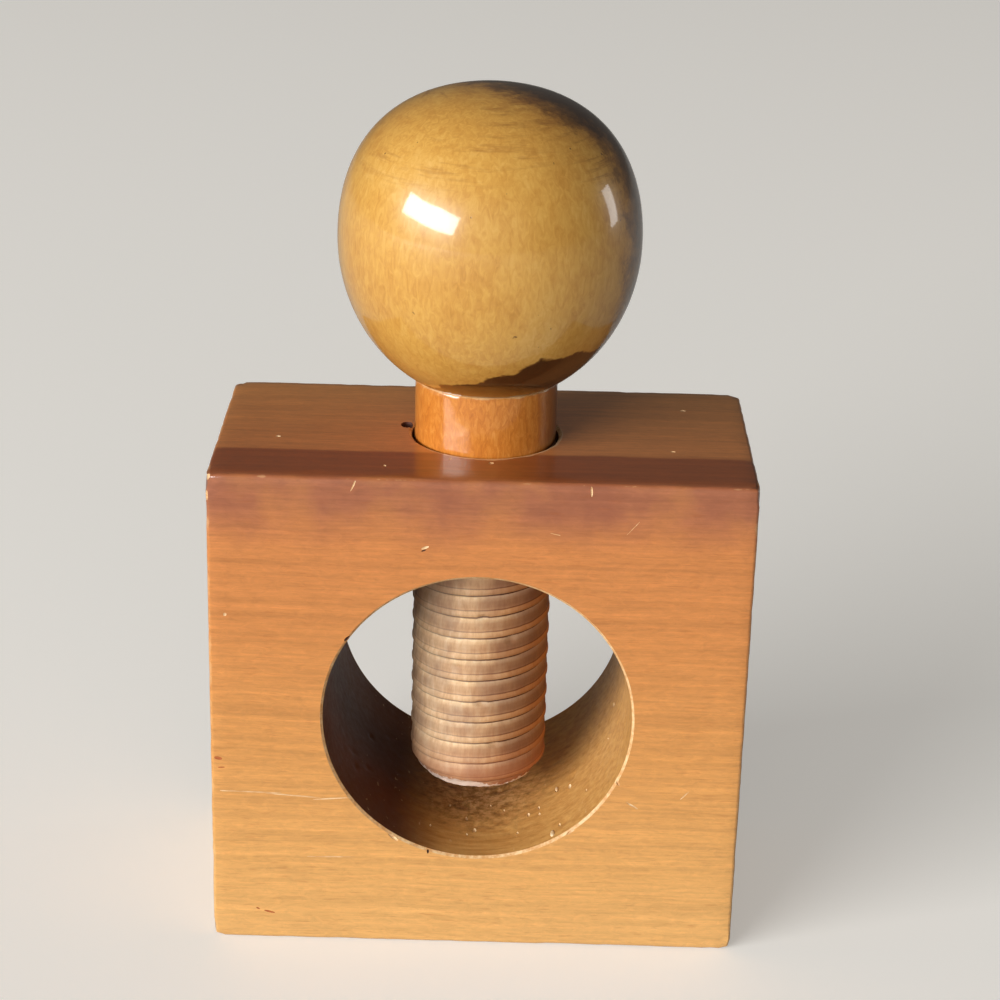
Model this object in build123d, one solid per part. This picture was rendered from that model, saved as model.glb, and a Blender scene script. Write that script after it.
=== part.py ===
from build123d import *
import math
import os

# Wooden screw nutcracker. A nut lies in the round chamber bored through the block,
# and the wooden screw, turned by its ball knob, presses it against the chamber's floor.
# Millimetres. The origin is the middle of the block's base, +Z runs up the screw and
# +Y through the chamber, away from the user.

# Block, one piece of hardwood with its grain along X
block_width = 90.0
block_depth = 46.4
block_height = 86.5
front_edge_round = 0.7
back_corner_round = 1.6
chamber_diameter = 52.0
chamber_centre_height = 43.25
chamber_rim_chamfer = 0.4

# Screw, with its neck as thick as the crests of its thread
screw_diameter = 24.0
screw_tip_height = 23.6
tip_chamfer_height = 3.0
tip_chamfer_width = 2.0
neck_shown = 10.4
neck_rim_chamfer = 0.4

# Right-hand thread, cut by a V-shaped cutter that leaves flat crests
thread_pitch = 4.0
thread_depth = 1.9
groove_mouth_width = 2.5
groove_root_width = 0.2
runout_height = 2.6
thread_past_nut = 0.7
thread_turned = 229.0

# Threaded hole in the block, and the plain mouth that takes the end of the thread
flank_clearance = 0.25
crest_clearance = 0.3
root_clearance = 0.65
mouth_depth = 4.0
mouth_clearance = 0.5
mouth_rim_chamfer = 0.5

# Ball knob: a little squarer than a sphere above its widest line
ball_diameter = 50.3
ball_crown_height = 25.1
ball_crown_fullness = 0.632
ball_base_height = 24.0
ball_seat_diameter = 24.6

# Glued dowel between the neck and the ball
dowel_diameter = 10.0
dowel_depth_in_neck = 14.0
dowel_depth_in_ball = 16.0
dowel_glue_gap = 0.1
dowel_end_gap = 0.5
dowel_chamfer = 0.6

# A cutting tool passes this far through the face that it leaves
cutter_overrun = 0.5

# Sizes that follow from the ones above
screw_radius = screw_diameter / 2
root_radius = screw_radius - thread_depth
neck_top_height = block_height + neck_shown
mouth_radius = screw_radius + mouth_clearance
nut_top_height = block_height - mouth_depth
nut_minor_radius = root_radius + root_clearance
nut_major_radius = screw_radius + crest_clearance
thread_end_height = nut_top_height + thread_past_nut
groove_slope = (groove_mouth_width - groove_root_width) / 2 / thread_depth


def bottom_cylinder(radius, height, base_height):
    """Upright cylinder on the screw's axis, standing on the height given."""
    return Pos(0, 0, base_height) * Cylinder(
        radius, height, align=(Align.CENTER, Align.CENTER, Align.MIN)
    )


def groove_half_width(radius):
    """Half the width of the screw's V-groove at a distance from the axis."""
    return groove_root_width / 2 + groove_slope * (radius - root_radius)


def groove_cutter(inner_radius, outer_radius, narrowing, start_height, runs_out):
    """V-shaped cutter that climbs one pitch a turn, up to where the thread ends."""
    turns = math.ceil((thread_end_height - start_height) / thread_pitch) + 1
    base_height = thread_end_height - turns * thread_pitch
    if not runs_out:
        turns += 1
    paths = [
        Edge.make_helix(
            thread_pitch,
            thread_pitch,
            inner_radius,
            center=(0, 0, base_height + turn * thread_pitch),
        )
        for turn in range(turns)
    ]
    if runs_out:
        # The cutter climbs out of the wood on a cone, down to the neck's surface.
        cone_angle = math.atan2(outer_radius - inner_radius, runout_height)
        paths.append(
            Edge.make_helix(
                thread_pitch / math.cos(cone_angle),
                runout_height,
                inner_radius,
                center=(0, 0, thread_end_height),
                angle=math.degrees(cone_angle),
            )
        )
    inner_half_width = groove_half_width(inner_radius) - narrowing
    outer_half_width = groove_half_width(outer_radius) - narrowing
    section = Plane.XZ * Polygon(
        (inner_radius, base_height + inner_half_width),
        (outer_radius, base_height + outer_half_width),
        (outer_radius, base_height - outer_half_width),
        (inner_radius, base_height - inner_half_width),
        align=None,
    )
    return sweep(section, path=Wire(paths), is_frenet=True)


def make_screw():
    """Threaded shank and plain neck, with the blind hole for the dowel."""
    screw = bottom_cylinder(
        screw_radius, neck_top_height - screw_tip_height, screw_tip_height
    )
    tip_edge = screw.edges().sort_by(Axis.Z)[0]
    tip_face = screw.faces().sort_by(Axis.Z)[0]
    screw = chamfer(tip_edge, tip_chamfer_width, tip_chamfer_height, reference=tip_face)
    screw = chamfer(screw.edges().sort_by(Axis.Z)[-1], neck_rim_chamfer)
    screw -= groove_cutter(
        root_radius, screw_radius + cutter_overrun, 0, screw_tip_height, True
    )
    dowel_hole = bottom_cylinder(
        dowel_diameter / 2 + dowel_glue_gap,
        dowel_depth_in_neck + cutter_overrun,
        neck_top_height - dowel_depth_in_neck,
    )
    return Rot(0, 0, thread_turned) * (screw - dowel_hole)


def make_tap():
    """Shape of the threaded hole: the screw's thread with its clearances added."""
    tap = bottom_cylinder(
        nut_major_radius,
        nut_top_height + cutter_overrun - chamber_centre_height,
        chamber_centre_height,
    )
    tap -= groove_cutter(
        nut_minor_radius,
        nut_major_radius + cutter_overrun,
        flank_clearance,
        chamber_centre_height,
        False,
    )
    return Rot(0, 0, thread_turned) * tap


def make_block():
    """Block with its chamber, its threaded hole and its eased edges."""
    block = Pos(0, 0, block_height / 2) * Box(block_width, block_depth, block_height)
    back_corners = block.edges().filter_by(Axis.Z).group_by(Axis.Y)[-1]
    block = fillet(back_corners, back_corner_round)
    block = fillet(
        block.faces().sort_by(Axis.Y)[0].edges()
        + block.faces().sort_by(Axis.Z)[0].edges()
        + block.faces().sort_by(Axis.Z)[-1].edges(),
        front_edge_round,
    )
    chamber = Pos(0, 0, chamber_centre_height) * (
        Rot(90, 0, 0) * Cylinder(chamber_diameter / 2, block_depth + 2 * cutter_overrun)
    )
    block -= chamber
    rims = block.edges().filter_by(GeomType.CIRCLE)
    rims = rims.filter_by(lambda edge: abs(edge.radius - chamber_diameter / 2) < 0.01)
    block = chamfer(rims, chamber_rim_chamfer)
    mouth = bottom_cylinder(mouth_radius, mouth_depth + cutter_overrun, nut_top_height)
    rim_taper = Pos(0, 0, block_height) * Cone(
        mouth_radius,
        mouth_radius + 2 * mouth_rim_chamfer,
        2 * mouth_rim_chamfer,
    )
    return block - make_tap() - mouth - rim_taper


def make_ball_knob():
    """Turned ball: a full crown, an elliptical underside and a flat seat."""
    ball_radius = ball_diameter / 2
    seat_radius = ball_seat_diameter / 2
    hole_radius = dowel_diameter / 2 + dowel_glue_gap
    hole_top_height = neck_top_height + dowel_depth_in_ball
    widest_height = neck_top_height + ball_base_height
    top_height = widest_height + ball_crown_height
    # The underside is a stretch of an ellipse from the seat's rim to the widest line.
    ellipse_height = ball_base_height / math.sqrt(1 - (seat_radius / ball_radius) ** 2)
    arc_angle = math.asin(ball_base_height / ellipse_height)
    handle = 4 / 3 * math.tan(arc_angle / 4)
    underside = Bezier(
        (seat_radius, neck_top_height),
        (
            seat_radius + handle * ball_radius * math.sin(arc_angle),
            neck_top_height + handle * ellipse_height * math.cos(arc_angle),
        ),
        (ball_radius, widest_height - handle * ellipse_height),
        (ball_radius, widest_height),
    )
    crown = Bezier(
        (ball_radius, widest_height),
        (ball_radius, widest_height + ball_crown_fullness * ball_crown_height),
        (ball_crown_fullness * ball_radius, top_height),
        (0, top_height),
    )
    seat_and_hole = Polyline(
        (0, top_height),
        (0, hole_top_height),
        (hole_radius, hole_top_height),
        (hole_radius, neck_top_height),
        (seat_radius, neck_top_height),
    )
    outline = make_face([underside, crown, seat_and_hole])
    return revolve(Plane.XZ * outline, Axis.Z)


def make_knob_dowel():
    """Straight dowel in the blind holes of the neck and the ball."""
    start_height = neck_top_height - dowel_depth_in_neck + dowel_end_gap
    length = dowel_depth_in_neck + dowel_depth_in_ball - 2 * dowel_end_gap
    dowel = bottom_cylinder(dowel_diameter / 2, length, start_height)
    return chamfer(dowel.edges().filter_by(GeomType.CIRCLE), dowel_chamfer)


pieces = {
    "block": make_block(),
    "screw": make_screw(),
    "ball_knob": make_ball_knob(),
    "knob_dowel": make_knob_dowel(),
}

os.makedirs("parts", exist_ok=True)
for name, piece in pieces.items():
    export_step(piece, os.path.join("parts", name + ".step"))
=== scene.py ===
import functools
import math
import random

import bpy
from mathutils import Matrix, Vector, noise


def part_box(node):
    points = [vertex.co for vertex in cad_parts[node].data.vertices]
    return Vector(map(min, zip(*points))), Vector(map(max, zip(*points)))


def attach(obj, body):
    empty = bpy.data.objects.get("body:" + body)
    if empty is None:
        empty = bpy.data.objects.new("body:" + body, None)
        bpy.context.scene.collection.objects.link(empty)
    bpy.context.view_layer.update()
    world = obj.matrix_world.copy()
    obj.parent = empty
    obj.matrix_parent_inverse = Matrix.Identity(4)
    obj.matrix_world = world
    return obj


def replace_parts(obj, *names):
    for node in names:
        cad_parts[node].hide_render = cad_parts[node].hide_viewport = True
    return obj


# Wooden screw nutcracker: a glossy fruitwood block, a bare wooden screw and a worn ball.
# Metres. The origin is the middle of the block's base, and the screw's axis is +Z.

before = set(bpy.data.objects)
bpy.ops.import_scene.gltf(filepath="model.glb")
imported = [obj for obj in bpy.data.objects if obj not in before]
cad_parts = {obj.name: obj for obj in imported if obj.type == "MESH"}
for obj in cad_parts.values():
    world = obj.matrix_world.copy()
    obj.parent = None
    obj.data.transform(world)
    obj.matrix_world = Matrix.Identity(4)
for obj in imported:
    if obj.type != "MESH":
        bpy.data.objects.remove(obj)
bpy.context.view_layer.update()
MM = 0.001
# Corners this close to a plane lie in it
NEAR = 0.01 * MM

# Sizes read from the frame
block_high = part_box("block")[1]
screw_low, screw_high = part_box("screw")
ball_low, ball_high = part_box("ball_knob")
half_width = block_high.x
half_depth = block_high.y
block_top = block_high.z
tip_height = screw_low.z
neck_top = screw_high.z
ball_top = ball_high.z
ball_radius = (ball_high.x - ball_low.x) / 2

# Block, with cuts along its edges that give wear some corners to move
FRONT_ROUND = 0.7 * MM
BACK_ROUND = 1.6 * MM
CHAMBER_RADIUS = 26.0 * MM
CHAMBER_HEIGHT = 43.25 * MM
CHAMBER_RIM = 0.4 * MM
MOUTH_RADIUS = 12.5 * MM
MOUTH_FLOOR = 82.5 * MM
MOUTH_RIM = 0.5 * MM
EDGE_STEP = 1.5 * MM
EDGE_START = 2 * MM
DENT_COUNT = 46

# Screw and its thread
SCREW_RADIUS = 12.0 * MM
PITCH = 4.0 * MM
THREAD_DEPTH = 1.9 * MM
THREAD_END = 83.2 * MM
THREAD_TURNED = math.radians(229)
RUNOUT_HEIGHT = 2.6 * MM
TIP_HEIGHT = 3.0 * MM
TIP_NARROWING = 2.0 * MM
NECK_RIM = 0.4 * MM

# The nut's thread in the block: its gaps to the screw, and half its ridge at crest and root
NUT_ROOT_GAP = 0.65 * MM
NUT_CREST_GAP = 0.3 * MM
NUT_MOUTH_HALF = 1.18 * MM
NUT_ROOT_HALF = 0.24 * MM
NUT_START = 17 * MM

# Ball, and the dowel holes under it
BALL_WIDEST = neck_top + 24.0 * MM
BALL_FULLNESS = 0.632
BALL_SEAT_RADIUS = 12.3 * MM
DOWEL_HOLE_RADIUS = 5.1 * MM
DOWEL_DEPTH_IN_NECK = 14.0 * MM
DOWEL_DEPTH_IN_BALL = 16.0 * MM

# Places of the finishes, in millimetres. The block's pith lies above its front edge, and
# heartwood reaches this far from it.
PITH_Y = -43.0
PITH_Z = 121.5
HEART_RADIUS = 47.8
# Torn fibres end this far from the screw's axis, and reach further at the front
TORN_RADIUS = 12.95
TORN_FRONT = (0.03, -0.072, 0)
# The crushed floor lies round a place in the air above it
CRUSHED_MIDDLE = (0, -1, 17.3)
# Ways from the screw's axis or the ball's middle: to the tip's torn side, to the stained side
# of the ball and to its stained shoulder
TIP_TORN_WAY = (-0.054, -0.064, 0)
STAINED_SIDE = (0.62, 0.78, 0.0)
STAINED_SHOULDER = (0.5, 0.55, 0.67)


# ---------------------------------------------------------------- modelling

def clean_selection():
    bpy.ops.object.select_all(action="DESELECT")


def named(name):
    """Gives the piece just added its name, and puts its place into its mesh."""
    piece = bpy.context.object
    piece.name = name
    piece.data.name = name
    bpy.ops.object.transform_apply(location=True, rotation=True, scale=True)
    return piece


def select_only(piece):
    clean_selection()
    piece.select_set(True)
    bpy.context.view_layer.objects.active = piece


def edit(piece):
    select_only(piece)
    bpy.ops.object.mode_set(mode="EDIT")


def done():
    bpy.ops.object.mode_set(mode="OBJECT")


def pick(piece, kind, test):
    """In edit mode, selects only the corners, edges or faces whose places pass the test."""
    edit(piece)
    bpy.ops.mesh.select_mode(type=kind)
    bpy.ops.mesh.select_all(action="DESELECT")
    done()
    mesh = piece.data
    parts = {"VERT": mesh.vertices, "EDGE": mesh.edges, "FACE": mesh.polygons}[kind]
    for part in parts:
        places = [part.co] if kind == "VERT" else [mesh.vertices[i].co for i in part.vertices]
        part.select = test(places)
    edit(piece)


def apply_modifier(piece, kind, **settings):
    select_only(piece)
    modifier = piece.modifiers.new(kind.title(), kind)
    for name, value in settings.items():
        setattr(modifier, name, value)
    bpy.ops.object.modifier_apply(modifier=modifier.name)


def cut(piece, cutter):
    """Takes the cutter's shape out of the piece. The cut faces keep the cutter's finish."""
    apply_modifier(
        piece,
        "BOOLEAN",
        operation="DIFFERENCE",
        solver="EXACT",
        material_mode="TRANSFER",
        object=cutter,
    )
    bpy.data.objects.remove(cutter)


def outward(piece):
    edit(piece)
    bpy.ops.mesh.select_all(action="SELECT")
    bpy.ops.mesh.remove_doubles(threshold=0.0001 * MM)
    bpy.ops.mesh.normals_make_consistent(inside=False)
    done()


def drawn_line(name, points):
    """A line of edges through the points, drawn corner by corner."""
    clean_selection()
    bpy.ops.mesh.primitive_plane_add(size=MM, location=points[0])
    line = named(name)
    edit(line)
    bpy.ops.mesh.select_mode(type="VERT")
    bpy.ops.mesh.select_all(action="SELECT")
    bpy.ops.mesh.merge(type="CENTER")
    for start, end in zip(points, points[1:]):
        step = Vector(end) - Vector(start)
        bpy.ops.mesh.extrude_region_move(TRANSFORM_OT_translate={"value": step})
    done()
    return line


def wound_bar(name, low, high, outline, steps=96):
    """A bar whose side is the outline, one pitch high, wound round the screw's axis."""
    turns = math.ceil((high - low) / PITCH) + 3
    start = low - 2 * PITCH
    bar = drawn_line(name, [(radius, 0, start + height) for radius, height in outline])
    apply_modifier(
        bar,
        "SCREW",
        axis="Z",
        angle=2 * math.pi,
        screw_offset=PITCH,
        iterations=turns,
        steps=steps,
        render_steps=steps,
        use_merge_vertices=False,
    )
    outward(bar)
    for height, side in ((low, 1), (high, -1)):
        edit(bar)
        bpy.ops.mesh.select_all(action="SELECT")
        bpy.ops.mesh.bisect(
            plane_co=(0, 0, height),
            plane_no=(0, 0, side),
            clear_inner=True,
            use_fill=True,
            threshold=0.001 * MM,
        )
        done()
    outward(bar)
    return bar


def groove_phase(place):
    """Height above the middle of the nearest groove, and the height of that middle."""
    angle = math.atan2(place.y, place.x) - THREAD_TURNED
    middle = THREAD_END + PITCH * angle / (2 * math.pi)
    above = (place.z - middle + PITCH / 2) % PITCH - PITCH / 2
    return above, place.z - above


# How deep the worn thread is, in millimetres, at heights above the middle of a groove: upright
# crests, a fine line where each begins, a shallow band, and a deep line under the next crest
WORN_GROOVE = [
    (-2.0, 0.0), (-1.48, 0.01), (-1.38, 0.05), (-1.3, 0.22), (-1.22, 0.26), (-1.12, 0.15),
    (-0.8, 0.15), (-0.2, 0.19), (0.4, 0.26), (0.8, 0.36), (1.05, 0.5), (1.2, 0.66),
    (1.3, 0.84), (1.38, 0.8), (1.45, 0.45), (1.54, 0.16), (1.68, 0.02), (2.0, 0.0),
]


def worn_groove(above):
    """Depth of the worn thread at a height in millimetres above its groove's middle."""
    for (low, start), (high, end) in zip(WORN_GROOVE, WORN_GROOVE[1:]):
        if above <= high:
            return start + (end - start) * (above - low) / (high - low)
    return 0.0


def smooth(value, low, high):
    share = min(1.0, max(0.0, (value - low) / (high - low)))
    return share * share * (3 - 2 * share)


def soft_noise(place, size, seed=0.0):
    """Noise from -1 to 1, with lumps of about the size given."""
    return noise.noise(Vector(place) / size + Vector((seed, seed * 1.7, seed * 2.3)))


# ---------------------------------------------------------------- finishes

def colour(code):
    """A hex sRGB colour as the linear values that the shader takes."""
    parts = [int(code[i:i + 2], 16) / 255 for i in (1, 3, 5)]
    linear = [c / 12.92 if c <= 0.04045 else ((c + 0.055) / 1.055) ** 2.4 for c in parts]
    return (*linear, 1.0)


def add_node(tree, kind, links=None, stops=(), **settings):
    """Adds a node. A link gives an input a value, a socket or another node's result."""
    new = tree.nodes.new("ShaderNode" + kind)
    for name, value in settings.items():
        setattr(new, name, value)
    for name, value in (links or {}).items():
        if isinstance(value, bpy.types.Node):
            value = next(result for result in value.outputs if result.enabled)
        if isinstance(value, bpy.types.NodeSocket):
            tree.links.new(value, new.inputs[name])
        else:
            new.inputs[name].default_value = value
    for index, (position, code) in enumerate(stops):
        if index > 1:
            new.color_ramp.elements.new(position)
        new.color_ramp.elements[index].position = position
        new.color_ramp.elements[index].color = colour(code)
    return new


def join(node, shader, *sockets):
    """Links a node's result to the shader."""
    for socket in sockets:
        shader.id_data.links.new(node.outputs[0], shader.inputs[socket])


def new_finish(name, **values):
    """A material with its shader's plain values. Also gives what adds a node to it, its
    shader, and the place on the piece in millimetres."""
    material = bpy.data.materials.new(name)
    material.use_nodes = True
    tree = material.node_tree
    tree.nodes.clear()
    add = functools.partial(add_node, tree)
    shader = add("BsdfPrincipled")
    add("OutputMaterial", {"Surface": shader})
    for socket, value in values.items():
        shader.inputs[socket.replace("_", " ")].default_value = value
    place = add("TexCoord").outputs["Object"]
    mm = add("VectorMath", {0: place, "Scale": 1000.0}, operation="SCALE")
    return material, add, shader, mm


def lacquered_fruitwood():
    """Fruitwood under clear lacquer: orange-tan with fine pores, and a red heartwood corner."""
    material, add, shader, mm = new_finish(
        "lacquered_fruitwood", Coat_Weight=0.55, Coat_Roughness=0.1, IOR=1.5
    )
    # The grain runs along X and wanders by a few millimetres
    wander = add("TexNoise", {"Vector": mm, "Scale": 0.022, "Detail": 2.0})
    grain = add(
        "VectorMath",
        {0: wander.outputs["Color"], 1: (0, 2.4, 2.4), 2: mm},
        operation="MULTIPLY_ADD",
    )
    # Growth rings lie round a pith above the front edge, so the corner below it is heartwood
    from_pith = add(
        "VectorMath", {0: grain, 1: (0, PITH_Y + 1.2, PITH_Z + 1.2)}, operation="SUBTRACT"
    )
    across = add("VectorMath", {0: from_pith, 1: (0.02, 1, 1)}, operation="MULTIPLY")
    age = add("VectorMath", {0: across}, operation="LENGTH")
    zone = add("MapRange", {"Value": age, "From Min": 40.0, "From Max": 125.0})
    sapwood = add(
        "ValToRGB",
        {"Fac": zone},
        stops=[
            (0.0, "#CF8046"), (0.3, "#D68B4A"), (0.55, "#DD9A54"), (0.8, "#E6AA62"),
            (1.0, "#EAB36C"),
        ],
    )
    # On the front the heartwood's edge is spread over some millimetres, on the top it is crisp
    depth = add("SeparateXYZ", {"Vector": mm})
    spread = add(
        "MapRange",
        {
            "Value": depth.outputs["Y"], "From Min": -23.0, "From Max": -15.0, "To Min": 4.2,
            "To Max": 0.5,
        },
    )
    patchy = add("TexNoise", {"Vector": grain, "Scale": 0.09, "Detail": 3.0})
    uneven = add("Math", {0: patchy, 1: 0.5}, operation="SUBTRACT")
    edge = add("Math", {0: uneven, 1: spread}, operation="MULTIPLY")
    aged = add("Math", {0: edge, 1: 1.6, 2: age}, operation="MULTIPLY_ADD")
    inner = add("Math", {0: HEART_RADIUS, 1: spread}, operation="SUBTRACT")
    outer = add("Math", {0: HEART_RADIUS, 1: spread}, operation="ADD")
    heart = add(
        "MapRange",
        {"Value": aged, "From Min": inner, "From Max": outer, "To Min": 1.0, "To Max": 0.0},
        interpolation_type="SMOOTHSTEP",
    )
    # Painted sheen: the heartwood of the front is painted paler and greyer than on the top, as
    # the front-lit face catches a sheen
    front_sheen = add(
        "MapRange", {"Value": depth.outputs["Y"], "From Min": -21.5, "From Max": -23.0}
    )
    front_heart = add(
        "ValToRGB",
        {"Fac": patchy},
        stops=[(0.36, "#A05F41"), (0.5, "#AA6745"), (0.64, "#B67245")],
    )
    heartwood = add(
        "MixRGB", {"Fac": front_sheen, "Color1": colour("#9C5329"), "Color2": front_heart}
    )
    zoned = add("MixRGB", {"Fac": heart, "Color1": sapwood, "Color2": heartwood})
    # Rings: irregular lines a few millimetres apart
    ring = add(
        "TexNoise",
        {"W": age, "Scale": 0.42, "Detail": 3.0, "Roughness": 0.7},
        noise_dimensions="1D",
    )
    ring_tone = add(
        "MapRange",
        {"Value": ring, "From Min": 0.3, "From Max": 0.7, "To Min": 0.91, "To Max": 1.06},
    )
    ringed = add("VectorMath", {0: zoned, "Scale": ring_tone}, operation="SCALE")
    # Fibres: long soft streaks about a millimetre wide
    fibres = add("Mapping", {"Vector": grain, "Scale": (0.045, 1, 1)})
    fibre = add("TexNoise", {"Vector": fibres, "Scale": 1.5, "Detail": 6.0, "Roughness": 0.72})
    fibre_tone = add(
        "MapRange",
        {"Value": fibre, "From Min": 0.3, "From Max": 0.7, "To Min": 0.86, "To Max": 1.1},
    )
    fibred = add("VectorMath", {0: ringed, "Scale": fibre_tone}, operation="SCALE")
    # Figure: woolly light and dark flecks 1 to 3 mm long
    wool = add("Mapping", {"Vector": mm, "Scale": (0.35, 1, 1)})
    figure = add(
        "TexNoise",
        {"Vector": wool, "Scale": 0.9, "Detail": 5.0, "Roughness": 0.75, "Distortion": 1.2},
    )
    figure_tone = add(
        "MapRange",
        {"Value": figure, "From Min": 0.3, "From Max": 0.7, "To Min": 0.88, "To Max": 1.1},
    )
    figured = add("VectorMath", {0: fibred, "Scale": figure_tone}, operation="SCALE")
    # Pores: dark dashes 1 to 2 mm long and 0.2 mm high, a little coarser than the real ones
    dashes = add("Mapping", {"Vector": grain, "Scale": (0.3, 3.0, 3.0)})
    pore = add("TexNoise", {"Vector": dashes, "Scale": 1.0, "Detail": 2.0})
    pores = add("MapRange", {"Value": pore, "From Min": 0.58, "From Max": 0.78, "To Max": 0.3})
    pored = add("MixRGB", {"Fac": pores, "Color1": figured, "Color2": colour("#A4541F")})
    # Edges are rubbed through to paler wood. The middle one of the three gaps tells an edge.
    folded = add("VectorMath", {0: mm, 1: (0, 0, block_top / MM / 2)}, operation="SUBTRACT")
    beside = add("VectorMath", {0: folded}, operation="ABSOLUTE")
    half_size = (half_width / MM, half_depth / MM, block_top / MM / 2)
    gaps = add("VectorMath", {0: half_size, 1: beside}, operation="SUBTRACT")
    gap = add("SeparateXYZ", {"Vector": gaps})
    along_x = add("Math", {0: gap.outputs["Y"], 1: gap.outputs["Z"]}, operation="MAXIMUM")
    along_y = add("Math", {0: gap.outputs["X"], 1: gap.outputs["Z"]}, operation="MAXIMUM")
    along_z = add("Math", {0: gap.outputs["X"], 1: gap.outputs["Y"]}, operation="MAXIMUM")
    nearest = add("Math", {0: along_x, 1: along_y}, operation="MINIMUM")
    edge_gap = add("Math", {0: nearest, 1: along_z}, operation="MINIMUM")
    ragged = add("TexNoise", {"Vector": mm, "Scale": 0.35, "Detail": 4.0})
    patchy_rag = add("Math", {0: ragged, 1: 2.6, 2: -1.2}, operation="MULTIPLY_ADD")
    side_wear = add(
        "MapRange", {"Value": gap.outputs["X"], "From Min": 1.2, "From Max": 0.2, "To Max": 0.3}
    )
    worn_rag = add("Math", {0: patchy_rag, 1: side_wear}, operation="ADD")
    rag = add("Math", {0: worn_rag, 1: 0.2}, operation="MAXIMUM")
    rubbed = add(
        "MapRange",
        {"Value": edge_gap, "From Min": 0.1, "From Max": rag, "To Min": 0.6, "To Max": 0.0},
    )
    worn = add("MixRGB", {"Fac": rubbed, "Color1": pored, "Color2": colour("#E9BC85")})
    # Round the screw's hole the fibres are torn pale, most at the front
    from_axis = add("VectorMath", {0: mm, 1: (1, 1, 0)}, operation="MULTIPLY")
    axis_gap = add("VectorMath", {0: from_axis}, operation="LENGTH")
    towards = add("VectorMath", {0: from_axis, 1: TORN_FRONT}, operation="DOT_PRODUCT")
    torn_reach = add("Math", {0: towards, 1: ragged}, operation="MULTIPLY")
    torn_edge = add("Math", {0: torn_reach, 1: 1.3, 2: TORN_RADIUS}, operation="MULTIPLY_ADD")
    torn_gap = add("Math", {0: torn_edge, 1: axis_gap.outputs["Value"]}, operation="SUBTRACT")
    torn = add("MapRange", {"Value": torn_gap, "From Max": 0.15, "To Max": 0.85})
    rimmed = add("MixRGB", {"Fac": torn, "Color1": worn, "Color2": colour("#E3B583")})
    join(rimmed, shader, "Base Color")
    dull = add("MapRange", {"Value": rubbed, "From Max": 0.6, "To Min": 0.3, "To Max": 0.6})
    join(dull, shader, "Roughness")
    ripple = add("TexNoise", {"Vector": mm, "Scale": 0.12, "Detail": 1.0})
    relief = add("Math", {0: pores, 1: -0.12, 2: ripple}, operation="MULTIPLY_ADD")
    bump = add("Bump", {"Height": relief, "Strength": 0.35, "Distance": 0.0002})
    join(bump, shader, "Normal", "Coat Normal")
    return material


def chamber_wood():
    """The chamber's bored wall: the same wood, scuffed by shells, with painted shade on its left
    side and painted glints low on the wall.
    """
    material, add, shader, mm = new_finish(
        "bored_wood_painted_shade", Coat_Weight=0.04, Coat_Roughness=0.15, Specular_IOR_Level=0.08
    )
    fibres = add("Mapping", {"Vector": mm, "Scale": (0.12, 1, 1)})
    fibre = add("TexNoise", {"Vector": fibres, "Scale": 0.8, "Detail": 5.0, "Roughness": 0.7})
    wood = add(
        "ValToRGB",
        {"Fac": fibre},
        stops=[(0.25, "#B07A3C"), (0.45, "#C89250"), (0.6, "#D4A15C"), (0.78, "#DFB06C")],
    )
    place = add("SeparateXYZ", {"Vector": mm})
    # Under the screw's tip the floor is crushed and dirty
    middle = add("VectorMath", {0: mm, 1: CRUSHED_MIDDLE}, operation="DISTANCE")
    blotch = add("TexNoise", {"Vector": mm, "Scale": 0.7, "Detail": 4.0, "Roughness": 0.7})
    reach = add("Math", {0: blotch, 1: 20.0, 2: middle}, operation="MULTIPLY_ADD")
    crushed = add(
        "MapRange",
        {"Value": reach, "From Min": 14.0, "From Max": 26.0, "To Min": 0.7, "To Max": 0.0},
    )
    crushed_wood = add(
        "ValToRGB",
        {"Fac": blotch},
        stops=[(0.33, "#5A3A1C"), (0.48, "#A27646"), (0.62, "#E0B482")],
    )
    dirty = add("MixRGB", {"Fac": crushed, "Color1": wood, "Color2": crushed_wood})
    # Painted shade: the left side is painted near black, as that wall faces away from the lamps
    painted_left_shade = add(
        "MapRange",
        {"Value": place.outputs["X"], "From Min": -4.0, "From Max": -15.0, "To Max": 0.93},
        interpolation_type="SMOOTHSTEP",
    )
    dark = add("MixRGB", {"Fac": painted_left_shade, "Color1": dirty, "Color2": colour("#521F08")})
    # Scuffs where shells slid: short flecks of relief, painted pale as glints of light
    flecks = add("Mapping", {"Vector": mm, "Scale": (0.9, 0.5, 0.9), "Rotation": (0.3, 0.5, 0.7)})
    fleck = add("TexNoise", {"Vector": flecks, "Scale": 1.0, "Detail": 3.0})
    glint_flecks = add("MapRange", {"Value": fleck, "From Min": 0.68, "From Max": 0.76, "To Max": 0.5})
    low = add("MapRange", {"Value": place.outputs["Z"], "From Min": 30.0, "From Max": 22.0})
    scuffed = add("Math", {0: glint_flecks, 1: low}, operation="MULTIPLY")
    finished = add("MixRGB", {"Fac": scuffed, "Color1": dark, "Color2": colour("#F2D6A0")})
    # The rim is cut through the pale front, and has lost its lacquer
    front_gap = add("Math", {0: place.outputs["Y"]}, operation="ABSOLUTE")
    rim = add(
        "MapRange",
        {
            "Value": front_gap, "From Min": half_depth / MM - 0.5,
            "From Max": half_depth / MM - 0.35,
        },
    )
    rim_share = add(
        "MapRange",
        {"Value": blotch, "From Min": 0.4, "From Max": 0.6, "To Min": 0.25, "To Max": 0.85},
    )
    rim_wear = add("Math", {0: rim, 1: rim_share}, operation="MULTIPLY")
    rim_wood = add("MixRGB", {"Fac": rim, "Color1": finished, "Color2": colour("#CE8C4C")})
    rimmed = add("MixRGB", {"Fac": rim_wear, "Color1": rim_wood, "Color2": colour("#F4D3A0")})
    join(rimmed, shader, "Base Color")
    rough = add("MapRange", {"Value": blotch, "To Min": 0.25, "To Max": 0.6})
    join(rough, shader, "Roughness")
    bump = add("Bump", {"Height": fleck, "Strength": 0.18, "Distance": 0.0003})
    join(bump, shader, "Normal")
    return material


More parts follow.
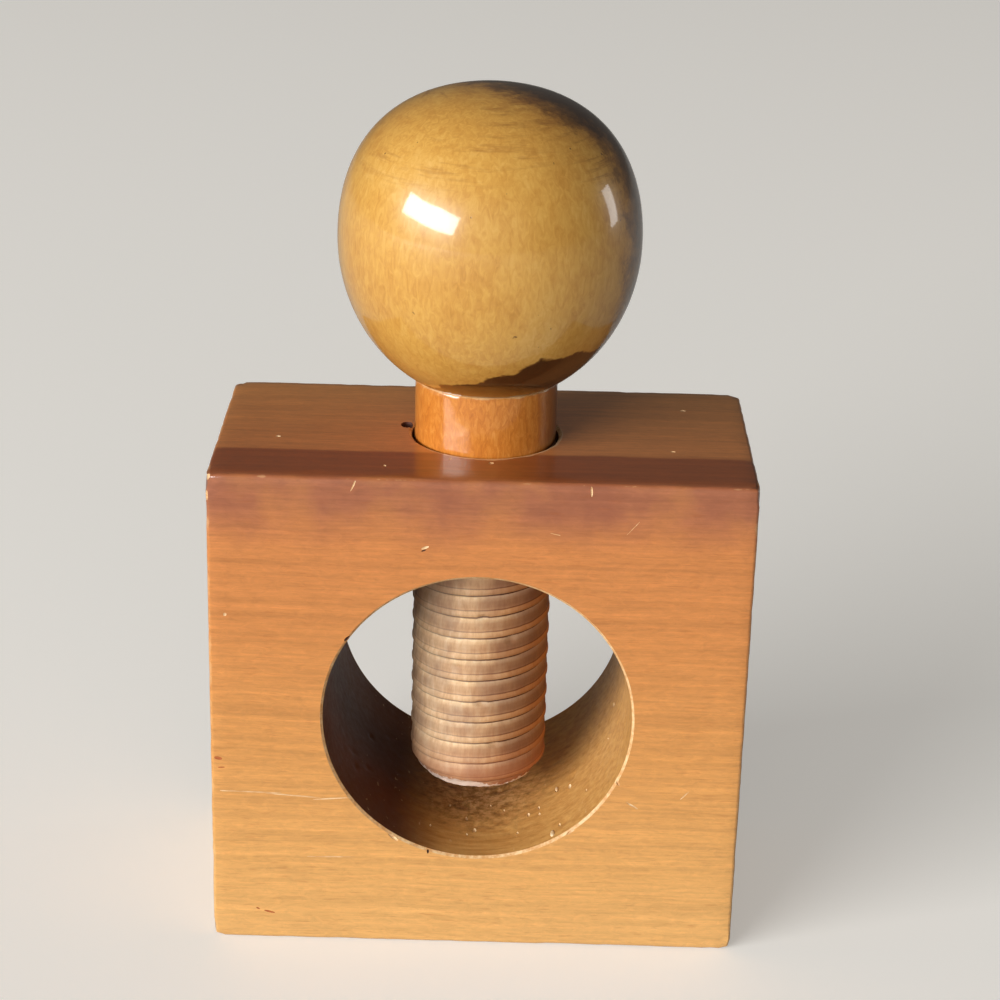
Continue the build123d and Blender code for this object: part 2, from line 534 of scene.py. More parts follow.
def raw_wood(name, fresh, old):
    """Wood without lacquer, as broken or bored: dull, with short torn fibres."""
    material, add, shader, mm = new_finish(name, Roughness=0.7)
    fibres = add("Mapping", {"Vector": mm, "Scale": (0.3, 1.5, 1.5)})
    fibre = add("TexNoise", {"Vector": fibres, "Scale": 1.4, "Detail": 4.0})
    wood = add("ValToRGB", {"Fac": fibre}, stops=[(0.35, old), (0.65, fresh)])
    join(wood, shader, "Base Color")
    bump = add("Bump", {"Height": fibre, "Strength": 0.5, "Distance": 0.0002})
    join(bump, shader, "Normal")
    return material


def bare_thread_wood():
    """Turned screw wood without lacquer: tan bands and crests, with painted shade and painted
    highlights along the grooves.
    """
    material, add, shader, mm = new_finish("bare_thread_wood", IOR=1.45)
    place = add("SeparateXYZ", {"Vector": mm})
    # Height above the groove's middle, from -2 to 2 mm, follows the helix
    angle = add("Math", {0: place.outputs["Y"], 1: place.outputs["X"]}, operation="ARCTAN2")
    turn = add("Math", {0: angle, 1: -THREAD_TURNED}, operation="ADD")
    climb = add("Math", {0: turn, 1: PITCH / MM / (2 * math.pi)}, operation="MULTIPLY")
    above_end = add("Math", {0: place.outputs["Z"], 1: THREAD_END / MM}, operation="SUBTRACT")
    raised = add("Math", {0: above_end, 1: climb}, operation="SUBTRACT")
    phase = add("Math", {0: raised, 1: 2.0, 2: -2.0}, operation="WRAP")
    # Wood: fine vertical fibres, with larger tan and grey-purple patches
    fibres = add("Mapping", {"Vector": mm, "Scale": (1, 1, 0.22)})
    fibre = add("TexNoise", {"Vector": fibres, "Scale": 1.1, "Detail": 5.0, "Roughness": 0.7})
    wood = add(
        "ValToRGB", {"Fac": fibre}, stops=[(0.28, "#DCB690"), (0.5, "#F2D2AC"), (0.72, "#FFEACA")]
    )
    patches = add("TexNoise", {"Vector": mm, "Scale": 0.16, "Detail": 3.0})
    greyed = add(
        "MapRange", {"Value": patches, "From Min": 0.46, "From Max": 0.64, "To Max": 0.45}
    )
    patched = add("MixRGB", {"Fac": greyed, "Color1": wood, "Color2": colour("#A07C6C")})
    # Painted light and shade along the thread: under each crest a painted shadow line, below it a
    # painted highlight, then a tan band up to a fine painted crease line
    wobble = add("TexNoise", {"Vector": mm, "Scale": 0.5, "Detail": 3.0})
    shifted = add("Math", {0: wobble, 1: 0.24, 2: phase}, operation="MULTIPLY_ADD")
    stripe = add("MapRange", {"Value": shifted, "From Min": -1.88, "From Max": 2.12})
    painted_groove_light = add(
        "ValToRGB",
        {"Fac": stripe},
        stops=[
            (0.0, "#E2C8A8"), (0.14, "#F0DCC0"), (0.165, "#A88266"), (0.19, "#96705A"),
            (0.22, "#D6B89A"), (0.35, "#C8A88A"), (0.56, "#D2B696"), (0.7, "#F4E4C8"),
            (0.76, "#FFFCEC"), (0.795, "#FFF4E0"), (0.815, "#7C5238"), (0.835, "#351C12"),
            (0.87, "#5E3822"), (0.905, "#C6A684"), (0.94, "#DCC2A2"),
        ],
    )
    # The painted light and shade is half as strong on the left, which faces the lamps, as on the
    # right
    painted_light_strength = add(
        "MapRange",
        {"Value": place.outputs["X"], "From Min": -8.0, "From Max": 5.0, "To Min": 0.5},
    )
    # Painted shade: towards the right, away from the lamps, the bands are painted grey-purple and
    # the crests orange-brown
    off_middle = add("Math", {0: phase}, operation="ABSOLUTE")
    in_band = add("MapRange", {"Value": off_middle, "From Min": 1.35, "From Max": 1.15})
    right_shade_tones = add(
        "MixRGB", {"Fac": in_band, "Color1": colour("#B4784A"), "Color2": colour("#8C6A66")}
    )
    # How much painted shade there is, growing towards the right
    browned = add(
        "MapRange",
        {"Value": place.outputs["X"], "From Min": -1.0, "From Max": 9.0, "To Max": 0.75},
    )
    right_shaded = add("MixRGB", {"Fac": browned, "Color1": patched, "Color2": right_shade_tones})
    banded = add(
        "MixRGB", {"Fac": painted_light_strength, "Color1": right_shaded, "Color2": painted_groove_light}, blend_type="MULTIPLY"
    )
    # Rubbing against the hole's mouth and the shells has reddened the last turns
    tip = add(
        "MapRange",
        {"Value": place.outputs["Z"], "From Min": 33.0, "From Max": 25.5, "To Max": 0.6},
    )
    tipped = add("MixRGB", {"Fac": tip, "Color1": banded, "Color2": colour("#B8714E")})
    # The tip's rim is broken to pale fibres
    fringe = add("TexNoise", {"Vector": mm, "Scale": 0.9, "Detail": 4.0})
    lean = add("VectorMath", {0: mm, 1: TIP_TORN_WAY}, operation="DOT_PRODUCT")
    torn = add(
        "MapRange",
        {
            "Value": lean, "From Min": 0.5, "From Max": 0.76, "To Min": tip_height / MM - 0.7,
            "To Max": tip_height / MM + 0.5,
        },
    )
    fringe_height = add("Math", {0: fringe, 1: 2.6, 2: torn}, operation="MULTIPLY_ADD")
    below_fringe = add("Math", {0: fringe_height, 1: place.outputs["Z"]}, operation="SUBTRACT")
    broken = add("MapRange", {"Value": below_fringe, "From Max": 0.2, "To Max": 0.9})
    finished = add("MixRGB", {"Fac": broken, "Color1": tipped, "Color2": colour("#F8E2D0")})
    join(finished, shader, "Base Color")
    rough = add("MapRange", {"Value": fibre, "To Min": 0.4, "To Max": 0.62})
    join(rough, shader, "Roughness")
    bump = add("Bump", {"Height": fibre, "Strength": 0.45, "Distance": 0.0002})
    join(bump, shader, "Normal")
    return material


def lacquered_neck_wood():
    """The neck's wood under amber lacquer, with vertical grain and a pale rubbed rim."""
    material, add, shader, mm = new_finish(
        "lacquered_neck_wood", Coat_Weight=0.8, Coat_Roughness=0.12, Roughness=0.32
    )
    fibres = add("Mapping", {"Vector": mm, "Scale": (1, 1, 0.35)})
    fibre = add(
        "TexNoise",
        {"Vector": fibres, "Scale": 1.3, "Detail": 5.0, "Roughness": 0.68, "Distortion": 0.8},
    )
    wood = add(
        "ValToRGB", {"Fac": fibre}, stops=[(0.3, "#B96A24"), (0.5, "#CE7E2E"), (0.7, "#DE9644")]
    )
    place = add("SeparateXYZ", {"Vector": mm})
    # Painted dark reflection: the right side is painted dark, as the lacquer there reflects dark
    # surroundings
    painted_dark_reflection = add(
        "MapRange",
        {"Value": place.outputs["X"], "From Min": 8.5, "From Max": 11.6, "To Max": 0.75},
    )
    reflection_darkened_wood = add("MixRGB", {"Fac": painted_dark_reflection, "Color1": wood, "Color2": colour("#4A260C")})
    rag = add("TexNoise", {"Vector": mm, "Scale": 0.8, "Detail": 3.0})
    ragged = add("Math", {0: rag, 1: 0.7, 2: place.outputs["Z"]}, operation="MULTIPLY_ADD")
    rim = add(
        "MapRange",
        {
            "Value": ragged, "From Min": neck_top / MM - 0.15, "From Max": neck_top / MM + 0.1,
            "To Max": 0.8,
        },
    )
    finished = add("MixRGB", {"Fac": rim, "Color1": reflection_darkened_wood, "Color2": colour("#E6BC86")})
    join(finished, shader, "Base Color")
    ripple = add("TexNoise", {"Vector": mm, "Scale": 0.4, "Detail": 2.0})
    bump = add("Bump", {"Height": ripple, "Strength": 0.25, "Distance": 0.0002})
    join(bump, shader, "Normal", "Coat Normal")
    return material


def pale_floor():
    """Matt pale floor. Only the light that it throws back at the nutcracker is held down."""
    material, add, shader, _ = new_finish(
        "pale_floor", Roughness=0.9, Specular_IOR_Level=0.2, Emission_Color=colour("#E4E1DB")
    )
    ray = add("LightPath")
    seen = add(
        "Math",
        {0: ray.outputs["Is Camera Ray"], 1: ray.outputs["Is Glossy Ray"]},
        operation="MAXIMUM",
    )
    any_seen = add("Math", {0: seen, 1: ray.outputs["Is Transmission Ray"]}, operation="MAXIMUM")
    tone = add(
        "MixRGB", {"Fac": any_seen, "Color1": colour("#A19D97"), "Color2": colour("#E4E1DB")}
    )
    join(tone, shader, "Base Color")
    glow = add("Math", {0: ray.outputs["Is Camera Ray"], 1: 0.42}, operation="MULTIPLY")
    join(glow, shader, "Emission Strength")
    return material


def worn_ball_wood():
    """Pale wood once stained near black. The stain is left behind on the right, with a painted
    dark reflection on its rim, and the underside is near black.
    """
    material, add, shader, mm = new_finish(
        "worn_stained_ball_wood", Coat_Weight=0.8, Coat_Roughness=0.07, Roughness=0.32
    )
    centred = add("VectorMath", {0: mm, 1: (0, 0, BALL_WIDEST / MM)}, operation="SUBTRACT")
    outward_way = add("VectorMath", {0: centred, "Scale": MM / ball_radius}, operation="SCALE")
    way = add("SeparateXYZ", {"Vector": outward_way})
    # Wood: vertical flecks a few millimetres long, over slow cloudy change
    fibres = add("Mapping", {"Vector": mm, "Scale": (1, 1, 0.35)})
    fibre = add(
        "TexNoise",
        {"Vector": fibres, "Scale": 1.1, "Detail": 5.0, "Roughness": 0.6, "Distortion": 1.0},
    )
    cloud = add("TexNoise", {"Vector": mm, "Scale": 0.07, "Detail": 3.0})
    calm = add("Math", {0: fibre, 1: 0.65, 2: 0.13}, operation="MULTIPLY_ADD")
    mixed = add("Math", {0: cloud, 1: 0.55, 2: calm}, operation="MULTIPLY_ADD")
    wood = add(
        "ValToRGB",
        {"Fac": mixed},
        stops=[(0.48, "#BC8234"), (0.64, "#CD9442"), (0.78, "#D9A44E"), (0.95, "#E3B362")],
    )
    # Turning marks: brown rings that show most near the top
    rings = add(
        "Mapping", {"Vector": mm, "Scale": (0.11, 0.11, 1.2), "Rotation": (0.06, 0.0, 0.0)}
    )
    ring = add("TexNoise", {"Vector": rings, "Scale": 0.8, "Detail": 4.0, "Roughness": 0.7})
    ring_mask = add(
        "MapRange", {"Value": ring, "From Min": 0.5, "From Max": 0.64, "To Max": 0.75}
    )
    high = add(
        "MapRange", {"Value": way.outputs["Z"], "From Min": 0.45, "From Max": 0.8, "To Min": 0.06}
    )
    ring_patch = add("MapRange", {"Value": cloud, "From Min": 0.42, "From Max": 0.58})
    patched_high = add("Math", {0: high, 1: ring_patch}, operation="MULTIPLY")
    ring_share = add("Math", {0: ring_mask, 1: patched_high}, operation="MULTIPLY")
    ringed = add("MixRGB", {"Fac": ring_share, "Color1": wood, "Color2": colour("#A0642A")})
    # Stain at the back and right, darkened further as a painted dark reflection along the right
    # rim: fades inwards through a mottled zone
    mottle = add("TexNoise", {"Vector": mm, "Scale": 0.22, "Detail": 6.0, "Roughness": 0.72})
    uneven = add("Math", {0: mottle, 1: 0.5}, operation="SUBTRACT")
    side = add("VectorMath", {0: outward_way, 1: STAINED_SIDE}, operation="DOT_PRODUCT")
    ragged_side = add("Math", {0: uneven, 1: 0.6, 2: side}, operation="MULTIPLY_ADD")
    back_stain_and_reflection = add(
        "MapRange",
        {"Value": ragged_side, "From Min": 0.03, "From Max": 0.48, "To Max": 0.96},
        interpolation_type="SMOOTHSTEP",
    )
    shoulder = add("VectorMath", {0: outward_way, 1: STAINED_SHOULDER}, operation="DOT_PRODUCT")
    ragged_shoulder = add("Math", {0: uneven, 1: 0.5, 2: shoulder}, operation="MULTIPLY_ADD")
    shoulder_stain = add(
        "MapRange",
        {"Value": ragged_shoulder, "From Min": 0.5, "From Max": 0.79, "To Max": 0.96},
        interpolation_type="SMOOTHSTEP",
    )
    upper_stain = add("Math", {0: back_stain_and_reflection, 1: shoulder_stain}, operation="MAXIMUM")
    # Before the stain the wood is streaked brown along the turning
    haze = add("MapRange", {"Value": ragged_shoulder, "From Min": 0.3, "From Max": 0.56})
    streaked = add("Math", {0: ring_mask, 1: haze}, operation="MULTIPLY")
    hazed = add("MixRGB", {"Fac": streaked, "Color1": ringed, "Color2": colour("#94602A")})
    # Near black underneath: its edge is crisp and ragged
    tongue = add("TexNoise", {"Vector": mm, "Scale": 0.11, "Detail": 4.0, "Roughness": 0.6})
    # It is low on the left, where it ends in a thin line, and climbs to the right
    climb = add(
        "MapRange",
        {
            "Value": way.outputs["X"], "From Min": -0.42, "From Max": 0.34, "To Min": 0.33,
            "To Max": 0.0,
        },
    )
    lower = add("Math", {0: way.outputs["Z"], 1: climb}, operation="ADD")
    ragged_low = add("Math", {0: tongue, 1: 0.26, 2: lower}, operation="MULTIPLY_ADD")
    dark_underside = add(
        "MapRange", {"Value": ragged_low, "From Min": -0.455, "From Max": -0.475, "To Max": 0.98}
    )
    stain = add("Math", {0: upper_stain, 1: dark_underside}, operation="MAXIMUM")
    # Where the stain is half gone the wood is brown
    browned = add("MapRange", {"Value": stain, "From Max": 0.45, "To Max": 0.7})
    brown = add("MixRGB", {"Fac": browned, "Color1": hazed, "Color2": colour("#94622C")})
    black = add("MapRange", {"Value": stain, "From Min": 0.25, "From Max": 0.95, "To Max": 0.97})
    stain_tone = add(
        "MixRGB", {"Fac": fibre, "Color1": colour("#241205"), "Color2": colour("#543112")}
    )
    stained = add("MixRGB", {"Fac": black, "Color1": brown, "Color2": stain_tone})
    # A few dark pits
    pit = add("TexNoise", {"Vector": mm, "Scale": 0.55, "Detail": 2.0})
    pits = add("MapRange", {"Value": pit, "From Min": 0.75, "From Max": 0.78, "To Max": 0.75})
    pitted = add("MixRGB", {"Fac": pits, "Color1": stained, "Color2": colour("#4F2C12")})
    join(pitted, shader, "Base Color")
    ripple = add("TexNoise", {"Vector": mm, "Scale": 0.16, "Detail": 1.0})
    relief = add("Math", {0: pits, 1: -0.4, 2: ripple}, operation="MULTIPLY_ADD")
    bump = add("Bump", {"Height": relief, "Strength": 0.3, "Distance": 0.0003})
    join(bump, shader, "Normal", "Coat Normal")
    return material


FRUITWOOD = lacquered_fruitwood()
CHAMBER_WOOD = chamber_wood()
MOUTH_WOOD = raw_wood("bored_mouth_wood", "#9A6034", "#5E3519")
CHIP_WOOD = raw_wood("chipped_wood", "#F0D0A2", "#CF9A62")
SPLINTER_WOOD = raw_wood("scored_chamber_wood", "#F6DEB4", "#DDB47C")
KNOT_WOOD = raw_wood("dark_knot_wood", "#4E2616", "#26100A")
FLECK_WOOD = raw_wood("red_fleck_wood", "#C4713A", "#A85428")
THREAD_WOOD = bare_thread_wood()
NECK_WOOD = lacquered_neck_wood()
BALL_WOOD = worn_ball_wood()
DOWEL_WOOD = raw_wood("dowel_beech", "#DDB98A", "#C79C69")


# ---------------------------------------------------------------- block

def chamber_cutter():
    """The chamber's shape, with the dents that nuts pressed into its floor."""
    clean_selection()
    bpy.ops.mesh.primitive_cylinder_add(
        vertices=256,
        radius=CHAMBER_RADIUS,
        depth=2 * (half_depth - CHAMBER_RIM),
        location=(0, 0, CHAMBER_HEIGHT),
        rotation=(math.radians(90), 0, 0),
    )
    cutter = named("chamber_cutter")
    cutter.data.materials.append(CHAMBER_WOOD)
    pick(cutter, "EDGE", lambda ends: abs(ends[0].y - ends[1].y) > MM)
    bpy.ops.mesh.subdivide(number_cuts=70)
    done()
    for side in (-1, 1):
        radius = CHAMBER_RADIUS
        for reach in (CHAMBER_RIM, MM):
            edge = max(side * corner.co.y for corner in cutter.data.vertices) - NEAR
            pick(cutter, "FACE", lambda ring: all(side * c.y > edge for c in ring))
            out = (0, side * reach, 0)
            bpy.ops.mesh.extrude_region_move(TRANSFORM_OT_translate={"value": out})
            done()
            pick(cutter, "VERT", lambda ring: side * ring[0].y > edge + reach)
            bpy.ops.transform.resize(
                value=(1 + reach / radius, 1, 1 + reach / radius),
                center_override=(0, 0, CHAMBER_HEIGHT),
            )
            radius += reach
            done()
    dent_chamber_floor(cutter)
    outward(cutter)
    return cutter


def dent_chamber_floor(cutter):
    """Presses small dents and ripples into the lowest part of the chamber's wall."""
    draw = random.Random(7)
    dents = []
    for _ in range(DENT_COUNT):
        around = draw.gauss(0, 13)
        along = draw.gauss(-3, 8)
        dents.append(
            (
                around, along, draw.uniform(0.9, 2.4), draw.uniform(0.5, 0.9),
                draw.uniform(0, 3.1), draw.uniform(0.1, 0.34),
            ),
        )
    for corner in cutter.data.vertices:
        place = corner.co
        if abs(place.y) > half_depth - CHAMBER_RIM - NEAR:
            continue
        out = Vector((place.x, 0, place.z - CHAMBER_HEIGHT))
        around = math.atan2(out.x, -out.z) * CHAMBER_RADIUS / MM
        along = place.y / MM
        depth = 0.03 * soft_noise((around, along * 0.3, 0), 3.0, 4)
        crushed = smooth(22 - abs(around), 0, 12) * smooth(19 - abs(along + 3), 0, 9)
        depth += crushed * 0.16 * max(0, soft_noise((around, along, 0), 2.2, 9))
        for x, y, length, width, turn, deep in dents:
            along_dent = (around - x) * math.cos(turn) + (along - y) * math.sin(turn)
            across_dent = (along - y) * math.cos(turn) - (around - x) * math.sin(turn)
            reach = (along_dent / length) ** 2 + (across_dent / width) ** 2
            if reach < 1:
                depth += deep * (1 - reach) ** 1.5
        place += out.normalized() * depth * MM


def worn_block():
    """One piece of wood, grain along X: eased edges and the chamber. open_hole cuts its mouth and
    threaded hole.
    """
    clean_selection()
    bpy.ops.mesh.primitive_cube_add(
        size=1,
        location=(0, 0, block_top / 2),
        scale=(2 * half_width, 2 * half_depth, block_top),
    )
    block = named("worn_block")
    block.data.materials.append(FRUITWOOD)
    pick(
        block,
        "EDGE",
        lambda ends: all(c.y > half_depth - MM for c in ends) and abs(ends[0].z - ends[1].z) > MM,
    )
    bpy.ops.mesh.bevel(offset=BACK_ROUND, segments=6, affect="EDGES")
    done()
    edit(block)
    bpy.ops.mesh.select_mode(type="EDGE")
    bpy.ops.mesh.select_all(action="DESELECT")
    bpy.ops.mesh.edges_select_sharp(sharpness=math.radians(40))
    bpy.ops.mesh.bevel(offset=FRONT_ROUND, segments=4, affect="EDGES")
    done()
    spans = ((-half_width, half_width), (-half_depth, half_depth), (0, block_top))
    for axis, (low, high) in enumerate(spans):
        length = high - low - 2 * EDGE_START
        count = int(length / EDGE_STEP)
        for index in range(count + 1):
            at = Vector((0, 0, 0))
            at[axis] = low + EDGE_START + index * length / count
            normal = Vector((0, 0, 0))
            normal[axis] = 1
            edit(block)
            bpy.ops.mesh.select_all(action="SELECT")
            bpy.ops.mesh.bisect(plane_co=at, plane_no=normal, threshold=0.001 * MM)
            done()
    wear_edges(block)
    cut(block, chamber_cutter())
    return block


def wear_edges(block):
    """Rubs the edges down unevenly, most at the corners."""
    reach = 1.1 * MM
    for corner in block.data.vertices:
        place = corner.co
        gaps = (
            half_width - abs(place.x), half_depth - abs(place.y),
            min(place.z, block_top - place.z),
        )
        near = sorted(gaps)
        if near[1] > reach:
            continue
        rub = 0.05 + 0.16 * max(0, soft_noise(place, 5 * MM, 2))
        rub += 0.1 * max(0, soft_noise(place, 1.5 * MM, 5))
        if near[2] < 2 * MM:
            rub += 0.25
        for axis, gap in enumerate(gaps):
            if gap < reach:
                inward = -1 if place[axis] > (block_top / 2 if axis == 2 else 0) else 1
                place[axis] += inward * rub * (1 - gap / reach) * MM


def chip(piece, marks, finish):
    """Breaks chips and scratches out of a piece. A mark is a place, a size and a tilt about Y."""
    chips = []
    for place, size, tilt in marks:
        clean_selection()
        bpy.ops.mesh.primitive_ico_sphere_add(
            subdivisions=2,
            radius=MM / 2,
            location=[value * MM for value in place],
            scale=size,
            rotation=(0, math.radians(tilt), 0),
        )
        chips.append(named("chip"))
    select_only(chips[0])
    for one in chips:
        one.select_set(True)
    bpy.ops.object.join()
    chips[0].data.materials.append(finish)
    cut(piece, chips[0])


def open_hole(block):
    """Cuts the plain mouth and the threaded hole below it."""
    clean_selection()
    bpy.ops.mesh.primitive_cylinder_add(
        vertices=128,
        radius=MOUTH_RADIUS,
        depth=block_top - MOUTH_RIM - MOUTH_FLOOR,
        location=(0, 0, (block_top - MOUTH_RIM + MOUTH_FLOOR) / 2),
    )
    mouth = named("mouth_cutter")
    mouth.data.materials.append(MOUTH_WOOD)
    for reach in (MOUTH_RIM, MM):
        top = max(corner.co.z for corner in mouth.data.vertices)
        radius = max(c.co.x for c in mouth.data.vertices if c.co.z > top - NEAR)
        pick(mouth, "FACE", lambda ring: all(c.z > top - NEAR for c in ring))
        bpy.ops.mesh.extrude_region_move(TRANSFORM_OT_translate={"value": (0, 0, reach)})
        bpy.ops.transform.resize(
            value=(1 + reach / radius, 1 + reach / radius, 1), center_override=(0, 0, top)
        )
        done()
    mouth.data.materials.append(CHIP_WOOD)
    for face in mouth.data.polygons:
        face.material_index = int(
            face.center.z > block_top - MOUTH_RIM and abs(face.normal.z) < 0.9
        )
    outward(mouth)
    nut_root = SCREW_RADIUS - THREAD_DEPTH + NUT_ROOT_GAP
    nut_crest = SCREW_RADIUS + NUT_CREST_GAP
    tap = wound_bar(
        "tap",
        CHAMBER_HEIGHT + NUT_START,
        MOUTH_FLOOR + 0.4 * MM,
        [
            (nut_crest, -PITCH / 2),
            (nut_crest, -NUT_MOUTH_HALF),
            (nut_root, -NUT_ROOT_HALF),
            (nut_root, NUT_ROOT_HALF),
            (nut_crest, NUT_MOUTH_HALF),
            (nut_crest, PITCH / 2),
        ],
    )
    tap.data.materials.append(MOUTH_WOOD)
    cut(block, tap)
    cut(block, mouth)


# Marks of use on the block, each with its place, its size and its tilt, in millimetres and
# degrees. The front face is at this Y, and the top at this Z.
FRONT = -23.2
TOP = 86.5
PALE_MARKS = [
    # Corners and edges
    ((-44.9, -22.9, 86.0), (1.5, 2.0, 2.0), 25),
    ((-44.9, -23.0, 82.9), (0.8, 0.8, 2.4), -6),
    ((-44.9, -19.4, 86.4), (0.7, 3.4, 0.5), 0),
    ((-44.9, -13.0, 86.4), (0.5, 3.0, 0.4), 0),
    ((-44.9, FRONT, 79.5), (0.6, 0.5, 1.6), 0),
    ((-20.9, FRONT, 85.3), (0.3, 0.3, 2.6), 24),
    ((17.6, FRONT, 85.4), (0.38, 0.35, 2.2), -4),
    ((3.3, FRONT, 86.3), (1.2, 0.5, 0.5), 0),
    ((-27.0, FRONT, 86.4), (2.6, 0.4, 0.4), 0),
    ((31.0, FRONT, 86.4), (1.5, 0.4, 0.4), 0),
    ((44.9, FRONT, 52.0), (0.4, 0.5, 2.2), 0),
    ((44.9, FRONT, 1.0), (0.8, 0.7, 1.0), 0),
    ((-44.9, FRONT, 14.0), (0.4, 0.5, 1.8), 0),
    # Front
    ((-9.2, FRONT, 74.6), (1.4, 0.3, 0.45), -22),
    ((-39.0, FRONT, 28.7), (13.0, 0.12, 0.22), 0.8),
    ((-31.0, FRONT, 28.2), (10.0, 0.16, 0.26), 3.8),
    ((-24.6, FRONT, 27.8), (6.5, 0.14, 0.24), -5.0),
    ((-24.5, FRONT, 16.5), (9.0, 0.12, 0.2), -1.0),
    ((26.7, FRONT, 28.0), (2.6, 0.2, 0.35), 32),
    ((35.5, FRONT, 30.2), (2.2, 0.12, 0.2), -48),
    ((24.6, FRONT, 79.0), (3.4, 0.08, 0.1), -50),
    ((-42.1, FRONT, 61.7), (0.6, 0.2, 0.6), 0),
    ((12.0, FRONT, 77.6), (1.8, 0.12, 0.16), 12),
    # Top
    ((-34.8, -4.9, TOP), (0.9, 0.5, 0.3), 0),
    ((34.4, 13.2, TOP), (1.1, 0.5, 0.25), 0),
    ((31.5, -7.3, TOP), (1.0, 0.6, 0.25), 0),
    ((1.2, -14.9, TOP), (0.9, 0.8, 0.3), 0),
    ((-5.6, -13.4, TOP), (0.5, 0.5, 0.3), 0),
    ((-16.2, -17.4, TOP), (0.5, 0.9, 0.2), 0),
    # Rim of the chamber
    ((-13.9, FRONT, 20.6), (2.2, 0.7, 0.6), 38),
    ((24.0, FRONT, 32.4), (0.5, 0.6, 1.6), -28),
    ((16.4, FRONT, 22.6), (1.8, 0.6, 0.5), -40),
    ((-25.9, FRONT, 41.0), (0.5, 0.6, 2.2), 0),
    ((-24.3, FRONT, 53.0), (0.5, 0.6, 1.4), 25),
]
DARK_MARKS = [
    ((-13.4, 2.4, TOP), (2.2, 3.0, 1.6), 0),
    ((-7.9, FRONT, 18.4), (0.45, 0.5, 1.6), 0),
    ((-21.8, FRONT, 57.9), (1.5, 0.7, 0.6), -40),
    ((-9.4, FRONT, 74.1), (0.9, 0.2, 0.25), -22),
]
RED_MARKS = [
    ((-44.0, FRONT, 35.0), (2.2, 0.16, 0.8), 10),
    ((-43.4, FRONT, 33.2), (1.8, 0.1, 0.3), -4),
    ((-35.2, FRONT, 5.3), (2.0, 0.12, 0.4), 14),
    ((-37.2, FRONT, 5.9), (0.7, 0.1, 0.3), 30),
]
# Shells have scored the chamber's floor, at these places and widths
FLOOR_MARKS = [
    (-1.5, -9.8, 1.6), (0.2, -12.2, 1.2), (-0.1, -14.0, 1.6), (-1.4, -15.6, 0.9),
    (9.3, -11.1, 1.4), (11.1, -9.8, 1.2), (11.2, -12.1, 1.0), (14.3, -6.1, 1.6),
    (16.5, -8.0, 1.7), (23.3, 2.1, 2.6), (24.2, 3.5, 1.6), (23.0, -4.9, 1.0),
    (13.4, -21.0, 2.2), (14.6, -19.2, 1.0), (5.0, -7.6, 0.9), (-7.8, -14.8, 0.8),
    (2.6, -5.4, 0.9), (-4.6, -6.1, 0.8), (7.4, -16.5, 0.9), (19.2, -14.0, 0.9),
]


def scores():
    """The floor's scores as marks, each tilted to lie in the chamber's wall."""
    draw = random.Random(21)
    marks = []
    for across, along, length in FLOOR_MARKS:
        down = math.sqrt((CHAMBER_RADIUS / MM) ** 2 - across ** 2)
        place = (across, along, CHAMBER_HEIGHT / MM - down)
        tilt = -math.degrees(math.atan2(across, down))
        marks.append((place, (length * 0.4, length, 0.5), tilt + draw.uniform(-8, 8)))
    return marks


block = worn_block()
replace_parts(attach(block, "block"), "block")
open_hole(block)
chip(block, PALE_MARKS, CHIP_WOOD)
chip(block, RED_MARKS, FLECK_WOOD)
chip(block, DARK_MARKS, KNOT_WOOD)
chip(block, scores(), SPLINTER_WOOD)


# ---------------------------------------------------------------- screw

def worn_screw():
    """Threaded shank with rubbed crests and a crumbled tip, and the plain neck above it."""
    outline = [(SCREW_RADIUS - depth * MM, height * MM) for height, depth in WORN_GROOVE]
    screw = wound_bar("worn_screw", tip_height, neck_top, outline, steps=128)
    screw.data.materials.append(THREAD_WOOD)
    screw.data.materials.append(NECK_WOOD)
    for face in screw.data.polygons:
        face.material_index = int(face.center.z > THREAD_END + RUNOUT_HEIGHT)
    chips = [
        (-87, 57.2, 0.5), (-63, 52.6, 0.4), (-88, 40.9, 0.5), (-75, 32.8, 0.4), (-110, 47.3, 0.3),
    ]
    for corner in screw.data.vertices:
        place = corner.co
        radius = math.hypot(place.x, place.y)
        if radius < 0.1 * MM:
            continue
        above, middle = groove_phase(place)
        lift = THREAD_DEPTH * max(0, middle - THREAD_END) / RUNOUT_HEIGHT
        # Crests and grooves are rubbed more in some places than in others
        waver = 0.08 * soft_noise(place, 6 * MM, 3) + 0.02 * soft_noise(place, 1.5 * MM, 8)
        depth = worn_groove(max(-2.0, min(2.0, above / MM + waver)))
        depth += 0.05 * max(0, soft_noise(place, 2.5 * MM, 6))
        threaded = 1 - smooth(middle, THREAD_END, THREAD_END + 0.8 * RUNOUT_HEIGHT)
        fresh = min(SCREW_RADIUS, SCREW_RADIUS - depth * MM * threaded + lift)
        angle = math.degrees(math.atan2(place.y, place.x))
        for chip_angle, chip_height, deep in chips:
            off = ((angle - chip_angle) / 5.5) ** 2 + ((place.z / MM - chip_height) / 0.8) ** 2
            if off < 1:
                fresh -= deep * (1 - off) * MM
        cone = SCREW_RADIUS - TIP_NARROWING * (1 - min(1, (place.z - tip_height) / TIP_HEIGHT))
        fresh = min(fresh, cone - 0.8 * depth * MM * threaded)
        fresh = min(fresh, SCREW_RADIUS - NECK_RIM + neck_top - place.z)
        if place.z < tip_height + 1.2 * MM:
            fresh -= 0.5 * MM * max(0, soft_noise(place, 0.8 * MM, 11))
        place.x *= fresh / radius
        place.y *= fresh / radius
    clean_selection()
    bpy.ops.mesh.primitive_cylinder_add(
        vertices=48,
        radius=DOWEL_HOLE_RADIUS,
        depth=DOWEL_DEPTH_IN_NECK + MM,
        location=(0, 0, neck_top - DOWEL_DEPTH_IN_NECK / 2 + MM / 2),
    )
    drill = named("drill")
    drill.data.materials.append(DOWEL_WOOD)
    cut(screw, drill)
    return screw


screw = worn_screw()
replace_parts(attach(screw, "screw"), "screw")


# ---------------------------------------------------------------- ball

